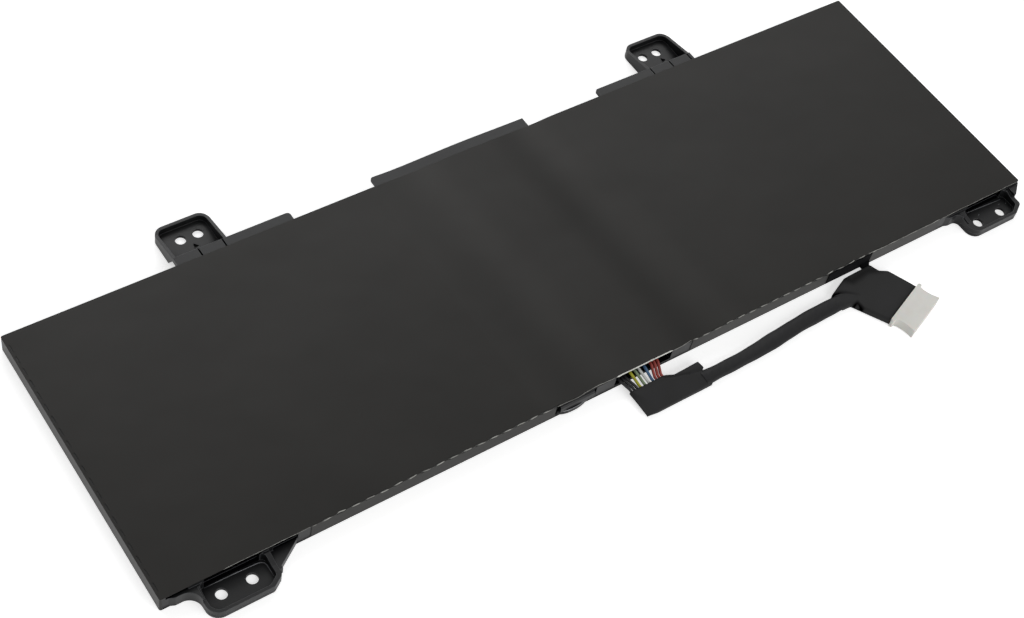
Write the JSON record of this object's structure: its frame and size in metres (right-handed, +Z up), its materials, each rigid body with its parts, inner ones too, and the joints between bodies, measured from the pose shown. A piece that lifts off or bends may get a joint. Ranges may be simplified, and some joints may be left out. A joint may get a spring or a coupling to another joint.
{
  "type": "laptop battery",
  "caption": "Flat rectangular internal laptop battery pack in a thin moulded frame with screw ears, wrapped in dark film, with a short wire lead that ends in a plug.",
  "frame": {"origin": "middle of the pack's underside, on the lower film's outer face", "axes": "+X runs along the pack's long side, towards the end where the plug lies; +Y towards the back edge with the lips; +Z up out of the upper face"},
  "size_m": [0.267, 0.1194, 0.0048],
  "materials": {
    "adhesive": "thin sheet",
    "amber_tape": "amber film tape",
    "board_green": "solder resist over glass epoxy",
    "capacitor_tan": "fired ceramic",
    "ceramic_white": "fired ceramic",
    "chip_black": "moulded epoxy",
    "cloth_tape": "black acetate cloth tape",
    "contact_metal": "plated phosphor bronze",
    "dark_film": "matte dark grey polyester film",
    "foam_grey": "closed cell foam",
    "frame_plastic": "satin moulded black polycarbonate blend",
    "nickel": "rolled nickel strip",
    "plug_ivory": "satin pale nylon",
    "pouch_foil": "satin laminated foil",
    "sleeve_black": "black woven sleeve",
    "solder": "bright tin solder",
    "wire_black": "satin insulation",
    "wire_blue": "satin insulation",
    "wire_green": "satin insulation",
    "wire_red": "satin insulation",
    "wire_white": "satin insulation",
    "wire_yellow": "satin insulation"
  },
  "bodies": {
    "root": {"board_foam": "foam_grey", "board_insulator": "adhesive", "bottom_film": "dark_film", "capacitors": "capacitor_tan", "cell_left": "pouch_foil", "cell_right": "pouch_foil", "cell_tape_left": "adhesive", "cell_tape_right": "adhesive", "charge_mosfet": "chip_black", "circuit_board": "board_green", "connector_contacts": "contact_metal", "connector_housing": "plug_ivory", "discharge_mosfet": "chip_black", "exit_wrap": "cloth_tape", "frame": "frame_plastic", "fuse": "ceramic_white", "gauge_chip": "chip_black", "harness_sleeve": "sleeve_black", "link_left_back": "nickel", "link_left_front": "nickel", "link_right_back": "nickel", "link_right_front": "nickel", "negative_tab_left": "nickel", "negative_tab_right": "nickel", "plug_wrap": "cloth_tape", "positive_tab_left": "nickel", "positive_tab_right": "nickel", "protector_chip": "chip_black", "resistors": "chip_black", "retaining_tape": "cloth_tape", "sense_resistor": "chip_black", "solder_joints": "solder", "tab_tape_left": "amber_tape", "tab_tape_right": "amber_tape", "thermistor": "chip_black", "top_film": "dark_film", "weld_plates": "nickel", "wire_black_1": "wire_black", "wire_black_2": "wire_black", "wire_black_3": "wire_black", "wire_blue": "wire_blue", "wire_green": "wire_green", "wire_red_1": "wire_red", "wire_red_2": "wire_red", "wire_red_3": "wire_red", "wire_white": "wire_white", "wire_yellow": "wire_yellow"}
  },
  "joints": []
}
